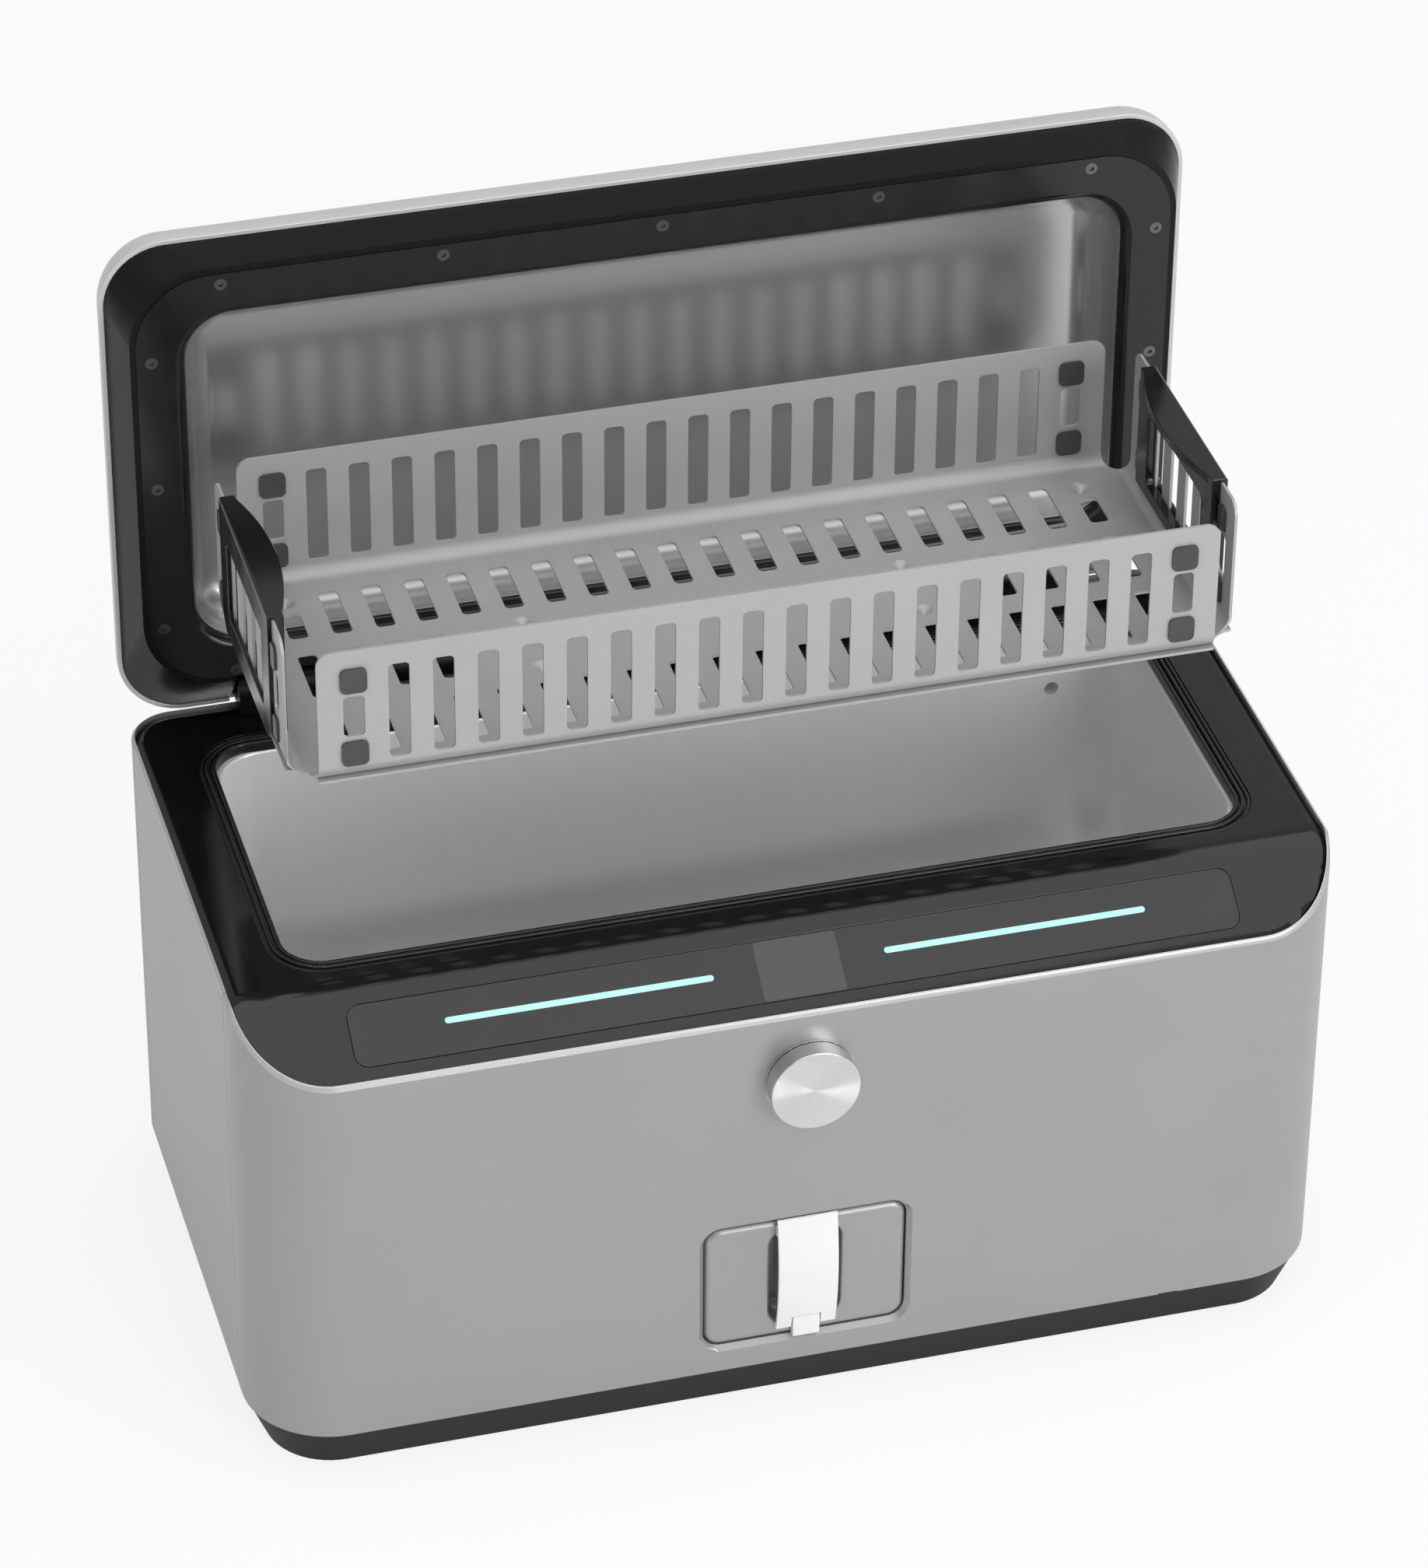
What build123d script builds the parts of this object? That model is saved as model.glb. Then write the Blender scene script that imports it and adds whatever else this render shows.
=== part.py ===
from build123d import *
import os
from math import sin, cos, tan, radians

os.makedirs("parts", exist_ok=True)

# Origin: middle of the footprint on the table. X right, Y back, Z up, millimetres.

# Casing
WIDTH, DEPTH = 460.0, 241.1
WALL = 1.5
R_FRONT, R_REAR = 37.3, 19.0
RIM_Z = 223.3
BASE_LOW, BASE_TOP, PANEL_LOW = 0.6, 20.3, 20.8
BASE_INSET_LOW, BASE_INSET_TOP = 8.8, 0.9
FACE_Y, BACK_Y = -DEPTH / 2, DEPTH / 2
SLOPE = 36.0
SLOPE_Y, SLOPE_Z = FACE_Y + 1.55, RIM_Z - 23.95
RIM_EDGE = 1.2
CREST_R = 8.0
SEAM_FRONT, SEAM_REAR, SEAM_GAP = FACE_Y + 41.55, BACK_Y - 22.05, 0.3
TRIM_H, TRIM_GAP = 3.1, 0.3
CHASSIS_TOP = 22.3

# Top cover and chamber
COVER_DROP, SLOPE_DROP = 0.8, 0.6
COVER_Z = RIM_Z - COVER_DROP
COVER_T, SKIRT_T, SKIRT_Z = 3.0, 2.0, RIM_Z - 37.3
SHOULDER_W, SHOULDER_H, RIDGE_R = 5.0, 1.6, 20.0
WELL_Y = 10.2
SEAL_X, SEAL_D, SEAL_R, SEAL_W = WIDTH / 2 - 22.5, DEPTH / 2 - 35.35, 24.0, 7.0
SEAL_BASE, RIB_H = COVER_Z - 1.3, 1.7
SEAL_TOP = SEAL_BASE + RIB_H
RIB_W, RIB_R = 1.9, 0.7
FLANGE_Z, FLANGE_X, FLANGE_D, FLANGE_R = SEAL_BASE - 3.1, SEAL_X + 5.5, SEAL_D + 5.8, 30.0
SHEET = 1.5
DECK_LOW, DECK_T = 92.0, 2.0
DECK_TOP = DECK_LOW + DECK_T
CHAMBER_X, CHAMBER_D, CHAMBER_R = SEAL_X - 8.1, SEAL_D - 7.5, 22.0
CHAMBER_FLOOR, CHAMBER_BEND = DECK_TOP + 4.0, 8.0
PORT_X, PORT_Z, PORT_RAD = CHAMBER_X - 30.8, FLANGE_Z - 28.8, 5.0
JACKET_T = 5.0
ELECTRODE_LOW = CHAMBER_FLOOR + 12.5
ELECTRODE_TOP = ELECTRODE_LOW + SHEET
REAR_ROOM = WELL_Y + CHAMBER_D + 9.1

# Console strip, measured up the slope from the front edge
STRIP_AT, STRIP_W, STRIP_H, STRIP_R, STRIP_T = 18.65, 368.0, 25.9, 5.5, 1.2
BAR_AT, BAR_MID, BAR_W, BAR_H = 19.5, 90.65, 110.3, 2.6
SCREEN_W, SCREEN_H, STRIP_GAP = 34.2, 25.1, 0.25

# Knob
KNOB_Z, KNOB_R, RING_R = 166.5, 18.7, 19.0
RING_FRONT, KNOB_BACK, KNOB_FRONT = FACE_Y - 1.45, FACE_Y - 1.85, FACE_Y - 9.65
SHAFT_R, RUN_FIT, BUSH_R = 3.0, 0.05, 6.5

# Cartridge opening and drawer
HATCH_X, HATCH_LOW, HATCH_TOP, HATCH_R = 45.3, 31.0, 96.0, 9.5
BEVEL, BEVEL_D, SURROUND = 2.0, 2.2, 5.5
FRONT_GAP = 0.5
FRONT_Y, FRONT_BACK, PILLOW = FACE_Y + 1.25, FACE_Y + 14.55, 2.8
HOLLOW_X, HOLLOW_D, HOLLOW_LOW, HOLLOW_TOP = 15.0, 10.0, 41.0, 87.0
HOLLOW_R, HOLLOW_LIP = 6.0, 1.5
STRAP_X, STRAP_LOW, STRAP_TOP, STRAP_BOW = 12.75, 38.6, 95.4, 3.4
STRAP_OUT, STRAP_T, STRAP_END_T = FRONT_Y - 2.2, 1.6, 1.2
BUTTON_X, BUTTON_LOW, BUTTON_TOP, BUTTON_FRONT = 5.75, 33.9, 44.1, FRONT_Y - 3.2
BUTTON_GAP, PRESS = 0.45, 2.5
TRAY_X, TRAY_LOW, TRAY_TOP, TRAY_BACK = 40.5, 36.0, 70.0, -14.0
RUNNER_X, RUNNER_LOW, RUNNER_TOP, SLIDE_GAP = 42.8, 48.0, 51.5, 0.4

# Lid, modelled standing open
HINGE_Y, HINGE_Z = BACK_Y - 3.05, RIM_Z + 9.2
BLOCK_IN, BLOCK_OUT, BLOCK_R = 129.0, 182.3, 8.9
KNUCKLE_X, KNUCKLE_R = 128.0, 8.2
PIN_R, PIN_IN, PIN_OUT = 3.0, 98.0, 170.0
NOTCH_IN, NOTCH_OUT, NOTCH_TOP, NOTCH_BACK = 128.5, 183.3, HINGE_Z + 10.9, HINGE_Y + 11.5
LID_X, LID_LOW, LID_R = WIDTH / 2, HINGE_Z - 13.6, 28.0
LID_TOP = LID_LOW + DEPTH - 14.8
LID_FACE, LID_BACK, LID_ROUND, LID_WALL = HINGE_Y + 9.0, HINGE_Y + 33.0, 22.0, 2.0
LEDGE_Y, LEDGE_X, LEDGE_R = LID_FACE - 17.7, LID_X - 8.5, 33.0
LEDGE_LOW, LEDGE_TOP = LID_LOW + 22.3, LID_TOP - 5.0
PLATE_Y, PLATE_T = LEDGE_Y - 0.5, 1.8
PLATE_X, PLATE_LOW, PLATE_TOP, PLATE_R = LID_X - 11.0, LID_LOW + 24.9, LID_TOP - 8.0, 31.0
PAN_X, PAN_LOW, PAN_TOP, PAN_R = PLATE_X - 12.7, PLATE_LOW + 9.8, PLATE_TOP - 11.8, 21.0
PAN_LIP, PAN_T, PAN_BACK = 3.0, 1.0, PLATE_Y + 24.7
DISH_R, DISH_MOUTH, DISH_BEND = 20.0, 5.0, 15.0
SCREW_X, SCREW_TOP, SCREW_LOW = PLATE_X - 6.2, PLATE_TOP - 4.8, PLATE_LOW + 3.1
SCREW_STEP = 91.65
SCREW_SIDE = (PLATE_TOP - 37.2, PLATE_TOP - 97.2, PLATE_LOW + 28.2)
HEAD_R, SCREW_R, SCREW_LEN = 2.6, 1.25, 10.0

# Basket, modelled lifted out of the chamber
LIFT, BASKET_H, BASKET_T = 191.3, 60.5, 1.2
BASKET_Y, BASKET_X, BASKET_D = WELL_Y + 1.8, CHAMBER_X - 3.7, CHAMBER_D - 4.0
BASKET_LOW = ELECTRODE_TOP + LIFT
BASKET_TOP = BASKET_LOW + BASKET_H
BEND_R, RELIEF_R, TAB_R = 6.0, 11.1, 6.0
SLOT_PITCH, SLOT_W, SLOT_H, SLOT_R, SLOT_MID = 17.86, 8.6, 43.5, 2.0, BASKET_LOW + 29.85
SHORT_H = 18.8
FLOOR_SLOT, FLOOR_ROW = 31.5, 42.85
PAD_X, PAD_END, PAD_W, PAD_H, PAD_T, PAD_OFF = 170.0, 49.75, 10.7, 11.2, 1.2, 17.0
FOOT_R, FOOT_H = 5.0, 3.2
GRIP_Y, BAR_HALF, BAR_TOP = BASKET_Y + 0.25, 45.2, BASKET_TOP + 1.7
FRAME_LOW, FRAME_OUT, FRAME_IN = BASKET_LOW + 1.7, 1.8, 3.8
WINDOW_HALF, WINDOW_LOW, WINDOW_TOP = 33.0, BASKET_LOW + 12.7, BASKET_LOW + 47.7
GRIP_HALF, GRIP_D, GRIP_LOW = 42.0, 7.0, BAR_TOP - 3.7

console = Plane(
    origin=(0, SLOPE_Y, SLOPE_Z), x_dir=(1, 0, 0),
    z_dir=(0, -sin(radians(SLOPE)), cos(radians(SLOPE))),
).offset(-SLOPE_DROP * cos(radians(SLOPE)))


# Outline of the casing at a height, drawn in by an inset
def case_outline(inset, z):
    with BuildSketch(Plane.XY.offset(z)) as sk:
        Rectangle(WIDTH - 2 * inset, DEPTH - 2 * inset)
        fillet(sk.vertices().group_by(Axis.Y)[0], R_FRONT - inset)
        fillet(sk.vertices().group_by(Axis.Y)[-1], R_REAR - inset)
    return sk.sketch


# Rounded rectangle lying flat around the middle of the chamber
def well_outline(half_x, half_y, r, z):
    with BuildSketch(Plane.XY.offset(z)) as sk:
        with Locations((0, WELL_Y)):
            RectangleRounded(2 * half_x, 2 * half_y, r)
    return sk.sketch


# Rounded rectangle standing in the plane at y, between two heights
def wall_outline(half_x, low, top, r, y):
    with BuildSketch(Plane.XZ.offset(-y)) as sk:
        with Locations((0, (low + top) / 2)):
            RectangleRounded(2 * half_x, top - low, r)
    return sk.sketch


# Rectangle between two corners on a plane
def between(plane, a, b):
    with BuildSketch(plane) as sk:
        with Locations(((a[0] + b[0]) / 2, (a[1] + b[1]) / 2)):
            Rectangle(abs(b[0] - a[0]), abs(b[1] - a[1]))
    return sk.sketch


# Circles on a plane
def rounds(plane, r, spots):
    with BuildSketch(plane) as sk:
        with Locations(*spots):
            Circle(r)
    return sk.sketch


# Plain block between two corners
def block(a, b, mode=Mode.ADD):
    with Locations(Vector(*a)):
        Box(b[0] - a[0], b[1] - a[1], b[2] - a[2], align=(Align.MIN,) * 3, mode=mode)


# Side view of everything below the rim and the console slope
def under_rim(low, flat_drop, slope_drop):
    lean = tan(radians(SLOPE))
    front = FACE_Y - 5
    flat = RIM_Z - flat_drop
    front_z = SLOPE_Z + (front - SLOPE_Y) * lean - slope_drop
    crest = SLOPE_Y + (flat - SLOPE_Z + slope_drop) / lean
    with BuildSketch(Plane.YZ.offset(-WIDTH / 2 - 5)) as sk:
        with BuildLine():
            Polyline(
                (front, low), (front, front_z), (crest, flat),
                (BACK_Y + 5, flat), (BACK_Y + 5, low), close=True,
            )
        make_face()
    return sk.sketch


# Edges round the top of a block, on the rim and the slope
def top_edges(part, flat_drop, slope_drop, wall):
    lean = tan(radians(SLOPE))
    found = ShapeList()
    for e in part.edges():
        m = e.position_at(0.5)
        rim = min(RIM_Z - flat_drop, SLOPE_Z + (m.Y - SLOPE_Y) * lean - slope_drop)
        across = abs(e.tangent_at(0.5).X) > 0.99 and FACE_Y + wall + 1 < m.Y < BACK_Y - wall - 1
        if abs(m.Z - rim) < 0.7 and not across:
            found.append(e)
    return found


# Edges of the holes in a face
def inside_edges(face):
    return ShapeList(e for wire in face.inner_wires() for e in wire.edges())


# Blank from which the casing panels are cut, with the bright edge round its top
with BuildPart() as blank:
    extrude(case_outline(0, PANEL_LOW), amount=RIM_Z)
    extrude(under_rim(PANEL_LOW, 0, 0), amount=WIDTH + 10, mode=Mode.INTERSECT)
    crest = blank.edges().filter_by(Axis.X).filter_by(
        lambda e: abs(e.center().Z - RIM_Z) < 0.1 and abs(e.center().Y) < BACK_Y - 5)
    fillet(crest, CREST_R)
    chamfer(top_edges(blank.part, 0, 0, 0), RIM_EDGE)
    extrude(case_outline(WALL, PANEL_LOW), amount=RIM_Z, mode=Mode.SUBTRACT)

with BuildPart() as front_panel:
    add(blank.part)
    block((-WIDTH, SEAM_FRONT - SEAM_GAP / 2, 0), (WIDTH, DEPTH, 2 * RIM_Z), Mode.SUBTRACT)
    # Thicker surround behind the cartridge opening
    extrude(wall_outline(HATCH_X + 4, HATCH_LOW - 5, HATCH_TOP + 4, HATCH_R + 3, FACE_Y + SURROUND),
            amount=SURROUND - 1)
    loft([wall_outline(HATCH_X, HATCH_LOW, HATCH_TOP, HATCH_R, FACE_Y),
          wall_outline(HATCH_X - BEVEL, HATCH_LOW + BEVEL, HATCH_TOP - BEVEL, HATCH_R - BEVEL,
                       FACE_Y + BEVEL_D)], mode=Mode.SUBTRACT)
    extrude(wall_outline(HATCH_X - BEVEL, HATCH_LOW + BEVEL, HATCH_TOP - BEVEL, HATCH_R - BEVEL,
                         FACE_Y + SURROUND + 1), amount=SURROUND - 1, mode=Mode.SUBTRACT)
    # Seat of the knob's bushing
    extrude(rounds(Plane.XZ.offset(BACK_Y - 5), BUSH_R, [(0, KNOB_Z)]), amount=6, mode=Mode.SUBTRACT)
    # Small service notch in the lower edge
    extrude(between(Plane.XZ.offset(BACK_Y - 5), (154.7, 20), (163.1, 21.2)), amount=6, mode=Mode.SUBTRACT)
front_panel.part.label = "front_panel"
export_step(front_panel.part, "parts/front_panel.step")

with BuildPart() as side_panel_left:
    add(blank.part)
    block((-WIDTH, SEAM_FRONT + SEAM_GAP / 2, 0),
          (-WIDTH / 4, SEAM_REAR - SEAM_GAP / 2, RIM_Z - TRIM_H - TRIM_GAP), Mode.INTERSECT)
side_panel_left.part.label = "side_panel_left"
export_step(side_panel_left.part, "parts/side_panel_left.step")

with BuildPart() as side_panel_right:
    add(blank.part)
    block((WIDTH / 4, SEAM_FRONT + SEAM_GAP / 2, 0),
          (WIDTH, SEAM_REAR - SEAM_GAP / 2, RIM_Z - TRIM_H - TRIM_GAP), Mode.INTERSECT)
side_panel_right.part.label = "side_panel_right"
export_step(side_panel_right.part, "parts/side_panel_right.step")

with BuildPart() as side_trims:
    add(blank.part)
    block((-WIDTH, SEAM_FRONT + SEAM_GAP / 2, RIM_Z - TRIM_H),
          (WIDTH, SEAM_REAR - SEAM_GAP / 2, 2 * RIM_Z), Mode.INTERSECT)
side_trims.part.label = "side_trims"
export_step(side_trims.part, "parts/side_trims.step")

with BuildPart() as rear_panel:
    add(blank.part)
    block((-WIDTH, -DEPTH, 0), (WIDTH, SEAM_REAR + SEAM_GAP / 2, 2 * RIM_Z), Mode.SUBTRACT)
    # Air slots in two rows
    with BuildSketch(Plane.XZ.offset(-BACK_Y - 1)):
        with Locations((0, 75)):
            with GridLocations(13, 30, 11, 2):
                SlotOverall(22, 4.0, rotation=90)
    extrude(amount=4, mode=Mode.SUBTRACT)
    # Cut-outs for the mains inlet and the exhaust
    extrude(between(Plane.XZ.offset(-BACK_Y - 1), (-164, 50), (-136, 70)), amount=4, mode=Mode.SUBTRACT)
    extrude(rounds(Plane.XZ.offset(-BACK_Y - 1), 9.0, [(150, 60)]), amount=4, mode=Mode.SUBTRACT)
    extrude(rounds(Plane.XZ.offset(-BACK_Y - 1), 1.5, [(-195, 40), (195, 40), (-195, 180), (195, 180)]),
            amount=4, mode=Mode.SUBTRACT)
rear_panel.part.label = "rear_panel"
export_step(rear_panel.part, "parts/rear_panel.step")

with BuildPart() as rear_screws:
    spots = [(-195, 40), (195, 40), (-195, 180), (195, 180)]
    extrude(rounds(Plane.XZ.offset(-BACK_Y - 2), 3.0, spots), amount=2)
    fillet(rear_screws.edges().group_by(Axis.Y)[-1], 1.0)
    extrude(rounds(Plane.XZ.offset(-BACK_Y), 1.5, spots), amount=7)
    with BuildSketch(Plane.XZ.offset(-BACK_Y - 2)):
        with Locations(*spots):
            RegularPolygon(1.5, 6)
    extrude(amount=1.2, mode=Mode.SUBTRACT)
rear_screws.part.label = "rear_screws"
export_step(rear_screws.part, "parts/rear_screws.step")

with BuildPart() as base_tray:
    loft([case_outline(BASE_INSET_LOW, BASE_LOW), case_outline(BASE_INSET_TOP, BASE_TOP)])
    loft([case_outline(BASE_INSET_LOW + 3, BASE_LOW + 2.5), case_outline(BASE_INSET_TOP + 3, BASE_TOP)],
         mode=Mode.SUBTRACT)
    foot_spots = [(-185, -85), (185, -85), (-185, 85), (185, 85)]
    extrude(rounds(Plane.XY, 5.0, foot_spots), amount=6, mode=Mode.SUBTRACT)
base_tray.part.label = "base_tray"
export_step(base_tray.part, "parts/base_tray.step")

with BuildPart() as feet:
    extrude(rounds(Plane.XY, 10.0, foot_spots), amount=BASE_LOW)
    extrude(rounds(Plane.XY, 5.0, foot_spots), amount=BASE_LOW + 2.5)
    extrude(rounds(Plane.XY.offset(BASE_LOW + 2.5), 7.0, foot_spots), amount=2)
feet.part.label = "feet"
export_step(feet.part, "parts/feet.step")

with BuildPart() as chassis_plate:
    extrude(case_outline(WALL, BASE_TOP), amount=CHASSIS_TOP - BASE_TOP)
    with BuildSketch(Plane.XY.offset(CHASSIS_TOP)):
        with Locations((-135, 90), (135, 90)):
            with GridLocations(12, 0, 6, 1):
                SlotOverall(26, 5, rotation=90)
    extrude(amount=-3, mode=Mode.SUBTRACT)
chassis_plate.part.label = "chassis_plate"
export_step(chassis_plate.part, "parts/chassis_plate.step")

with BuildPart() as under_cover:
    extrude(case_outline(WALL + SKIRT_T, SKIRT_Z - 1), amount=RIM_Z)
    extrude(under_rim(SKIRT_Z - 1, COVER_DROP + COVER_T, SLOPE_DROP + COVER_T + 0.6),
            amount=WIDTH + 10, mode=Mode.INTERSECT)

# Glossy cover: flat round the chamber, sloping console in front, turned down all round
with BuildPart() as top_cover:
    extrude(case_outline(WALL, SKIRT_Z), amount=RIM_Z)
    extrude(under_rim(SKIRT_Z, COVER_DROP, SLOPE_DROP), amount=WIDTH + 10, mode=Mode.INTERSECT)
    ridge = top_cover.edges().filter_by(Axis.X).filter_by(
        lambda e: abs(e.center().Z - COVER_Z) < 0.1 and abs(e.center().Y) < BACK_Y - 5)
    fillet(ridge, RIDGE_R)
    # Sloping shoulder, which follows the smooth edge from the flat down the console
    flat = top_cover.faces().sort_by(Axis.Z)[-1]
    shoulder = flat.edges() - flat.edges().filter_by(Axis.X).group_by(Axis.Y)[0]
    chamfer(shoulder, SHOULDER_W, SHOULDER_H, reference=flat)
    add(under_cover.part, mode=Mode.SUBTRACT)
    # Skirt is deeper at the front than at the sides
    block((-WIDTH, -80, SKIRT_Z - 1), (WIDTH, DEPTH, 212), Mode.SUBTRACT)
    # Opening of the chamber with a rim that bears on its flange
    extrude(well_outline(SEAL_X + 3, SEAL_D + 3, SEAL_R + 3, FLANGE_Z), amount=3)
    extrude(well_outline(SEAL_X, SEAL_D, SEAL_R, FLANGE_Z - 1), amount=10, mode=Mode.SUBTRACT)
    # Pocket for the glass strip, with a fine gap round it
    with BuildSketch(console):
        with Locations((0, STRIP_AT)):
            RectangleRounded(STRIP_W + 2 * STRIP_GAP, STRIP_H + 2 * STRIP_GAP, STRIP_R + STRIP_GAP)
    extrude(amount=-STRIP_T, mode=Mode.SUBTRACT)
top_cover.part.label = "top_cover"
export_step(top_cover.part, "parts/top_cover.step")

with BuildPart() as glass_strip:
    with BuildSketch(console):
        with Locations((0, STRIP_AT)):
            RectangleRounded(STRIP_W, STRIP_H, STRIP_R)
            RectangleRounded(SCREEN_W, SCREEN_H, 1.5, mode=Mode.SUBTRACT)
        with Locations((-BAR_MID, BAR_AT), (BAR_MID, BAR_AT)):
            SlotOverall(BAR_W, BAR_H, mode=Mode.SUBTRACT)
    extrude(amount=-STRIP_T)
glass_strip.part.label = "glass_strip"
export_step(glass_strip.part, "parts/glass_strip.step")

with BuildPart() as light_bars:
    with BuildSketch(console):
        with Locations((-BAR_MID, BAR_AT), (BAR_MID, BAR_AT)):
            SlotOverall(BAR_W, BAR_H)
    extrude(amount=-STRIP_T)
light_bars.part.label = "light_bars"
export_step(light_bars.part, "parts/light_bars.step")

with BuildPart() as display:
    with BuildSketch(console):
        with Locations((0, STRIP_AT)):
            RectangleRounded(SCREEN_W, SCREEN_H, 1.5)
    extrude(amount=-STRIP_T)
display.part.label = "display"
export_step(display.part, "parts/display.step")


# One rounded rib of the gasket, running all round
def gasket_rib(start, top):
    end = start + RIB_W
    with BuildPart() as rib:
        extrude(well_outline(SEAL_X - start, SEAL_D - start, SEAL_R - start, SEAL_BASE),
                amount=top - SEAL_BASE)
        extrude(well_outline(SEAL_X - end, SEAL_D - end, SEAL_R - end, SEAL_BASE),
                amount=5, mode=Mode.SUBTRACT)
        fillet(rib.edges().group_by(Axis.Z)[-1], RIB_R)
    return rib.part


# Door gasket with three ribs
with BuildPart() as gasket:
    extrude(well_outline(SEAL_X, SEAL_D, SEAL_R, FLANGE_Z), amount=SEAL_BASE - FLANGE_Z)
    add(gasket_rib(0, SEAL_TOP - 0.6))
    add(gasket_rib((SEAL_W - RIB_W) / 2, SEAL_TOP))
    add(gasket_rib(SEAL_W - RIB_W, SEAL_TOP))
    extrude(well_outline(SEAL_X - SEAL_W, SEAL_D - SEAL_W, SEAL_R - SEAL_W, FLANGE_Z),
            amount=10, mode=Mode.SUBTRACT)
gasket.part.label = "gasket"
export_step(gasket.part, "parts/gasket.step")

with BuildPart() as chamber_room:
    extrude(well_outline(CHAMBER_X, CHAMBER_D, CHAMBER_R, CHAMBER_FLOOR), amount=FLANGE_Z - CHAMBER_FLOOR)
    fillet(chamber_room.edges().group_by(Axis.Z)[0], CHAMBER_BEND)

# Deep-drawn chamber
with BuildPart() as chamber:
    extrude(well_outline(CHAMBER_X + SHEET, CHAMBER_D + SHEET, CHAMBER_R + SHEET, CHAMBER_FLOOR - SHEET),
            amount=FLANGE_Z - CHAMBER_FLOOR)
    fillet(chamber.edges().group_by(Axis.Z)[0], CHAMBER_BEND + SHEET)
    extrude(well_outline(FLANGE_X, FLANGE_D, FLANGE_R, FLANGE_Z - SHEET), amount=SHEET)
    add(chamber_room.part, mode=Mode.SUBTRACT)
    fillet(inside_edges(chamber.faces().sort_by(Axis.Z)[-1]), 1.2)
    extrude(rounds(Plane.XZ.offset(-REAR_ROOM - 3), PORT_RAD, [(PORT_X, PORT_Z)]), amount=20,
            mode=Mode.SUBTRACT)
chamber.part.label = "chamber"
export_step(chamber.part, "parts/chamber.step")

with BuildPart() as chamber_port:
    tail = REAR_ROOM - WELL_Y - CHAMBER_D
    extrude(rounds(Plane.XZ.offset(-REAR_ROOM), PORT_RAD, [(PORT_X, PORT_Z)]), amount=tail)
    extrude(rounds(Plane.XZ.offset(-REAR_ROOM), 7.5, [(PORT_X, PORT_Z)]), amount=tail - SHEET)
    extrude(rounds(Plane.XZ.offset(-REAR_ROOM - 1), 3.2, [(PORT_X, PORT_Z)]), amount=20, mode=Mode.SUBTRACT)
chamber_port.part.label = "chamber_port"
export_step(chamber_port.part, "parts/chamber_port.step")

with BuildPart() as electrode:
    extrude(well_outline(178, 60, 12, ELECTRODE_LOW), amount=ELECTRODE_TOP - ELECTRODE_LOW)
    with BuildSketch(Plane.XY.offset(ELECTRODE_TOP)):
        with Locations((0, WELL_Y)):
            with GridLocations(30, 30, 11, 3):
                SlotOverall(18, 5)
    extrude(amount=-SHEET, mode=Mode.SUBTRACT)
electrode.part.label = "electrode"
export_step(electrode.part, "parts/electrode.step")

standoff_spots = [(x, WELL_Y + y) for x in (-160, 0, 160) for y in (-47, 47)]
with BuildPart() as standoffs:
    extrude(rounds(Plane.XY.offset(CHAMBER_FLOOR), 5, standoff_spots), amount=ELECTRODE_LOW - CHAMBER_FLOOR)
standoffs.part.label = "standoffs"
export_step(standoffs.part, "parts/standoffs.step")

with BuildPart() as chamber_body:
    extrude(well_outline(CHAMBER_X + SHEET, CHAMBER_D + SHEET, CHAMBER_R + SHEET, CHAMBER_FLOOR - SHEET),
            amount=FLANGE_Z)
    fillet(chamber_body.edges().group_by(Axis.Z)[0], CHAMBER_BEND + SHEET)

with BuildPart() as insulation:
    outer = JACKET_T + SHEET
    extrude(well_outline(CHAMBER_X + outer, CHAMBER_D + outer, CHAMBER_R + outer, DECK_TOP),
            amount=FLANGE_Z - SHEET - DECK_TOP)
    add(chamber_body.part, mode=Mode.SUBTRACT)
    extrude(rounds(Plane.XZ.offset(-REAR_ROOM - 3), 8.0, [(PORT_X, PORT_Z)]), amount=20, mode=Mode.SUBTRACT)
insulation.part.label = "insulation"
export_step(insulation.part, "parts/insulation.step")

# Deck that carries the chamber, on seven legs
with BuildPart() as chamber_deck:
    deck_x, deck_front = CHAMBER_X + 8.6, WELL_Y - CHAMBER_D - 8.5
    block((-deck_x, deck_front, DECK_LOW), (deck_x, REAR_ROOM, DECK_TOP))
    legs = [(x, y) for x in (4 - deck_x, deck_x - 4) for y in (deck_front + 4, REAR_ROOM - 4)]
    for x, y in legs + [(0, REAR_ROOM - 4), (-62, deck_front + 4), (62, deck_front + 4)]:
        block((x - 4, y - 4, CHASSIS_TOP), (x + 4, y + 4, DECK_LOW))
chamber_deck.part.label = "chamber_deck"
export_step(chamber_deck.part, "parts/chamber_deck.step")

with BuildPart() as vacuum_pump:
    block((-190, -62, CHASSIS_TOP), (-95, 62, CHASSIS_TOP + 4))
    extrude(rounds(Plane.XZ.offset(60), 29, [(-142, 58)]), amount=-78)
    block((-176, 18, CHASSIS_TOP + 4), (-108, 60, 90))
    for y in (-48, -36, -24, -12, 0):
        extrude(rounds(Plane.XZ.offset(-y), 31.5, [(-142, 58)]), amount=-4)
    block((-152, -60, CHASSIS_TOP + 4), (-132, 18, 40))
    extrude(rounds(Plane.XZ.offset(-60), 7, [(-160, 70), (-124, 70)]), amount=-14)
vacuum_pump.part.label = "vacuum_pump"
export_step(vacuum_pump.part, "parts/vacuum_pump.step")

with BuildPart() as plasma_generator:
    block((75, -62, CHASSIS_TOP), (190, 55, 72))
    for i in range(10):
        block((80 + 11 * i, -58, 72), (84 + 11 * i, 51, 84))
    extrude(rounds(Plane.XZ.offset(-55), 8, [(170, 50)]), amount=-12)
plasma_generator.part.label = "plasma_generator"
export_step(plasma_generator.part, "parts/plasma_generator.step")

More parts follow.
